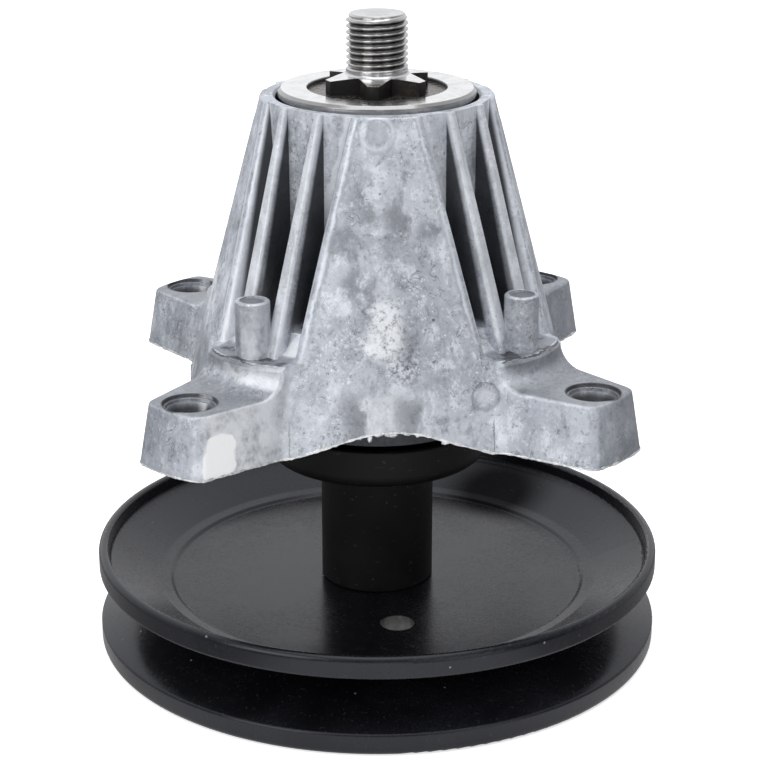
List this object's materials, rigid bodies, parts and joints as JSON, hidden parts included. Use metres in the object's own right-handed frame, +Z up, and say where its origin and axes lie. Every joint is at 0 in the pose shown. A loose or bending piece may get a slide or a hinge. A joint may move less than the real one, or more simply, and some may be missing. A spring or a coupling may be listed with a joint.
{
  "type": "mower deck spindle",
  "caption": "Mower deck spindle: flared ribbed cast housing on bolted feet, with a sealed-bearing shaft that carries a blade at one end and a stamped belt pulley at the other.",
  "frame": {"origin": "on the spin axis, at the bottom of the pulley's lower rim", "axes": "+Z up along the spin axis towards the blade end, X and Y along the square of the foot holes"},
  "size_m": [0.1368, 0.1368, 0.1525],
  "materials": {
    "cast_aluminium": "raw die casting, mottled",
    "bright_steel": "turned",
    "bearing_steel": "ground",
    "cage_steel": "plain",
    "seal_rubber": "matte",
    "black_oxide": "satin black",
    "black_paint": "satin black",
    "plated_steel": "zinc plated"
  },
  "bodies": {
    "housing": {"housing": "cast_aluminium", "blade_bearing_outer_ring": "bearing_steel", "blade_bearing_lower_seal": "seal_rubber", "blade_bearing_upper_seal": "seal_rubber", "pulley_bearing_outer_ring": "bearing_steel", "pulley_bearing_lower_seal": "seal_rubber", "pulley_bearing_upper_seal": "seal_rubber"},
    "rotor": {"spindle_shaft": "bright_steel", "blade_bearing_inner_ring": "bearing_steel", "pulley_bearing_inner_ring": "bearing_steel", "bearing_spacer": "cage_steel", "dust_shield": "black_oxide", "hub_spacer": "black_oxide", "pulley_upper_half": "black_paint", "pulley_lower_half": "black_paint", "pulley_washer": "plated_steel", "pulley_nut": "plated_steel"},
    "blade_ball_set": {"blade_bearing_balls": "bearing_steel", "blade_bearing_cage": "cage_steel"},
    "pulley_ball_set": {"pulley_bearing_balls": "bearing_steel", "pulley_bearing_cage": "cage_steel"}
  },
  "joints": [
    {"name": "spindle_spin", "type": "hinge", "parent": "housing", "child": "rotor", "pos_m": [0, 0, 0.094], "axis": [0, 0, 1], "continuous": true},
    {"name": "blade_ball_orbit", "type": "hinge", "parent": "housing", "child": "blade_ball_set", "pos_m": [0, 0, 0.1226], "axis": [0, 0, 1], "continuous": true},
    {"name": "pulley_ball_orbit", "type": "hinge", "parent": "housing", "child": "pulley_ball_set", "pos_m": [0, 0, 0.0652], "axis": [0, 0, 1], "continuous": true}
  ],
  "couplings": [
    {"joint": "blade_ball_orbit", "follows": "spindle_spin", "ratio": 0.38152},
    {"joint": "pulley_ball_orbit", "follows": "spindle_spin", "ratio": 0.38152}
  ]
}
